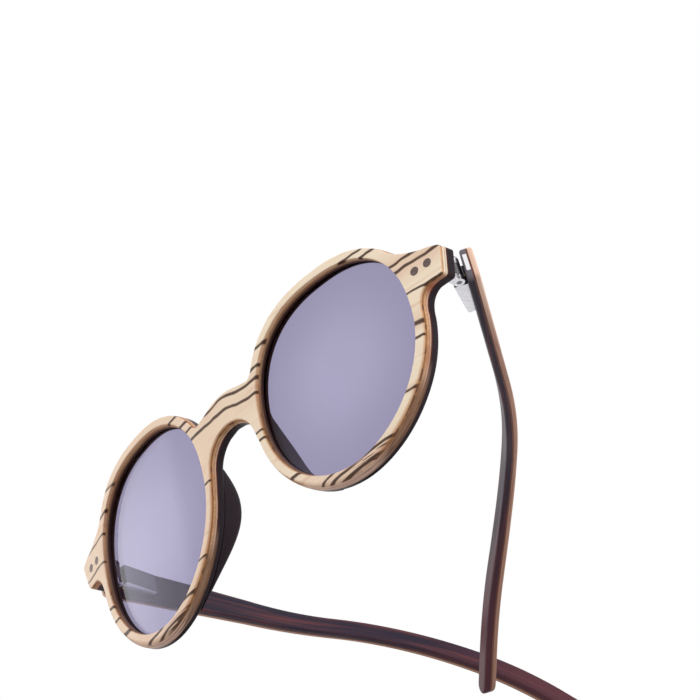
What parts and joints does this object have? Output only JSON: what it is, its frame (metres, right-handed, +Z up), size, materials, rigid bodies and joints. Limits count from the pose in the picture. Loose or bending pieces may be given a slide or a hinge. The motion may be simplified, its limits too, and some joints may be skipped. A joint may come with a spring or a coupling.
{
  "type": "wooden sunglasses",
  "caption": "Round sunglasses with a laminated striped-wood front, tinted lenses, wooden nose pads and bowed wooden arms that fold on sprung metal hinges.",
  "frame": {"origin": "on the middle plane at the height of the lens centres, 7 mm behind the foremost point of the face, where the nose sits between the pads", "axes": "+X to the wearer's left, +Y back along the open arms, +Z up"},
  "size_m": [0.1406, 0.1569, 0.0538],
  "materials": {
    "zebrano": "pale striped veneer, satin lacquer",
    "amber_wood": "amber ply, satin lacquer",
    "cream_wood": "cream ply, satin lacquer",
    "red_wood": "red-brown ply, satin lacquer",
    "ebony": "near-black wood, satin lacquer",
    "arm_wood": "warm brown ply, satin lacquer",
    "tinted_lens": "clear violet-grey tint, polished",
    "hinge_metal": "bright plated metal",
    "rivet_metal": "dull dark metal",
    "screw_metal": "plain steel",
    "bush_brass": "turned brass"
  },
  "bodies": {
    "front": {"face_ply": "zebrano", "amber_ply": "amber_wood", "cream_ply": "cream_wood", "red_ply": "red_wood", "ebony_ply": "ebony", "left_lens": "tinted_lens", "right_lens": "tinted_lens", "left_nose_pad": "ebony", "right_nose_pad": "ebony", "left_hinge_leaf": "hinge_metal", "right_hinge_leaf": "hinge_metal", "left_leaf_rivets": "rivet_metal", "right_leaf_rivets": "rivet_metal", "left_hinge_screw": "screw_metal", "right_hinge_screw": "screw_metal"},
    "left_carrier": {"left_spring_carrier": "hinge_metal", "left_carrier_nut": "screw_metal"},
    "right_carrier": {"right_spring_carrier": "hinge_metal", "right_carrier_nut": "screw_metal"},
    "left_arm": {"left_spring_bush": "bush_brass", "left_spring": "screw_metal", "left_hinge_housing": "hinge_metal", "left_arm_inner": "ebony", "left_arm_veneer": "red_wood", "left_arm_outer": "arm_wood"},
    "right_arm": {"right_spring_bush": "bush_brass", "right_spring": "screw_metal", "right_hinge_housing": "hinge_metal", "right_arm_inner": "ebony", "right_arm_veneer": "red_wood", "right_arm_outer": "arm_wood"}
  },
  "joints": [
    {"name": "left_fold", "type": "hinge", "parent": "front", "child": "left_carrier", "pos_m": [0.0645, 0.008, 0.008], "axis": [0, 0, 1], "range_deg": [-40.3, 43.7]},
    {"name": "left_draw", "type": "slide", "parent": "left_carrier", "child": "left_arm", "axis": [-0.6198, 0.7848, 0], "range_m": [0, 0.001], "stiffness_N_per_m": 1000, "springref_m": -0.001, "deforming": ["left_spring"]},
    {"name": "right_fold", "type": "hinge", "parent": "front", "child": "right_carrier", "pos_m": [-0.0645, 0.008, 0.008], "axis": [0, 0, -1], "range_deg": [0, 27]},
    {"name": "right_draw", "type": "slide", "parent": "right_carrier", "child": "right_arm", "axis": [-0.0349, 0.9994, 0], "range_m": [0, 0.001], "stiffness_N_per_m": 1000, "springref_m": -0.001, "deforming": ["right_spring"]}
  ]
}
